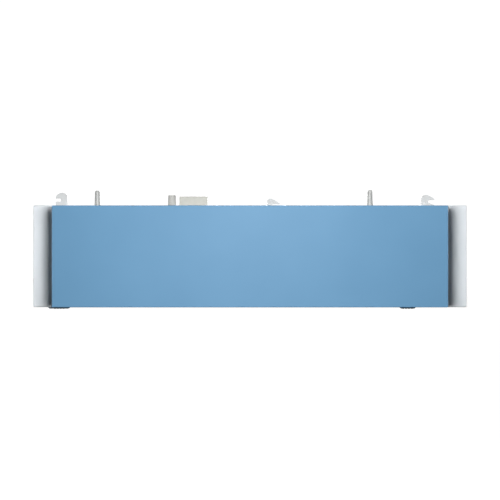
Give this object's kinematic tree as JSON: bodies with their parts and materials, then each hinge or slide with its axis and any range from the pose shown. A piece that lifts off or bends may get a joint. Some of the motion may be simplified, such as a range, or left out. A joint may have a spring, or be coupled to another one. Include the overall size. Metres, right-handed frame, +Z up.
{
  "type": "desk privacy panel",
  "caption": "Under-desk privacy panel: a blue steel face tile on stand-offs before a grey folded tray, with locating pins, a key block, and spring-latched hooks on its top edge.",
  "frame": {"origin": "centre of the flat bearing face of the top rail's rear lip, where the panel's back rests against the desk's rail", "axes": "+X along the panel, to the right as seen from the face; +Z up; -Y the way the blue face looks, so +Y goes out of the open back"},
  "size_m": [1.345, 0.0785, 0.37],
  "materials": {
    "blue_powder_coat": "satin-matt sky-blue polyester powder coat on folded steel",
    "grey_powder_coat": "light-grey polyester powder coat on folded steel",
    "honeycomb_board": "paper honeycomb between the skin and the back sheet",
    "zinc_steel": "bright zinc-plated steel",
    "hook_coat": "light-grey coated 3 mm steel",
    "spring_steel": "bright spring wire",
    "grip_nylon": "dark-grey moulded nylon",
    "glide_acetal": "white moulded acetal",
    "pin_moulding": "light-grey moulded nylon",
    "buffer_rubber": "light-grey moulded rubber",
    "block_moulding": "warm light-grey moulded plastic"
  },
  "bodies": {
    "frame": {"face_skin": "blue_powder_coat", "face_core": "honeycomb_board", "face_back_sheet": "grey_powder_coat", "standoff_left_upper": "zinc_steel", "standoff_left_lower": "zinc_steel", "standoff_middle_upper": "zinc_steel", "standoff_middle_lower": "zinc_steel", "standoff_right_upper": "zinc_steel", "standoff_right_lower": "zinc_steel", "standoff_screw_left_upper": "zinc_steel", "standoff_screw_left_lower": "zinc_steel", "standoff_screw_middle_upper": "zinc_steel", "standoff_screw_middle_lower": "zinc_steel", "standoff_screw_right_upper": "zinc_steel", "standoff_screw_right_lower": "zinc_steel", "tray_sheet": "grey_powder_coat", "top_rail": "grey_powder_coat", "bottom_rail": "grey_powder_coat", "left_end_cap": "grey_powder_coat", "right_end_cap": "grey_powder_coat", "left_guide_upper_glide": "glide_acetal", "left_guide_upper_screw": "zinc_steel", "left_guide_lower_glide": "glide_acetal", "left_guide_lower_screw": "zinc_steel", "bar_guide_inner_glide": "glide_acetal", "bar_guide_inner_screw": "zinc_steel", "bar_guide_outer_glide": "glide_acetal", "bar_guide_outer_screw": "zinc_steel", "arm_guide_glide": "glide_acetal", "arm_guide_screw": "zinc_steel", "left_spring": "spring_steel", "left_spring_bracket": "zinc_steel", "left_bracket_screw": "zinc_steel", "right_spring": "spring_steel", "right_spring_bracket": "zinc_steel", "right_bracket_screw": "zinc_steel", "left_pin": "pin_moulding", "left_pin_nut": "zinc_steel", "right_pin": "pin_moulding", "right_pin_nut": "zinc_steel", "bump_stop": "buffer_rubber", "bump_stop_nut": "zinc_steel", "key_block": "block_moulding", "key_block_screw_left": "zinc_steel", "key_block_screw_right": "zinc_steel"},
    "left_latch": {"left_latch_plate": "hook_coat", "left_grip": "grip_nylon"},
    "right_latch": {"draw_bar": "zinc_steel", "centre_hook": "hook_coat", "right_hook": "hook_coat", "release_arm": "zinc_steel", "right_grip": "grip_nylon", "centre_hook_rivet_a": "zinc_steel", "centre_hook_rivet_b": "zinc_steel", "right_hook_rivet_a": "zinc_steel", "right_hook_rivet_b": "zinc_steel", "release_arm_rivet_a": "zinc_steel", "release_arm_rivet_b": "zinc_steel"}
  },
  "joints": [
    {"name": "left_latch_slide", "type": "slide", "parent": "frame", "child": "left_latch", "axis": [1, 0, 0], "range_m": [0, 0.018], "stiffness_N_per_m": 500, "springref_m": -0.016, "deforming": ["left_spring"]},
    {"name": "right_latch_slide", "type": "slide", "parent": "frame", "child": "right_latch", "axis": [-1, 0, 0], "range_m": [0, 0.018], "stiffness_N_per_m": 900, "springref_m": -0.016, "deforming": ["right_spring"]}
  ]
}
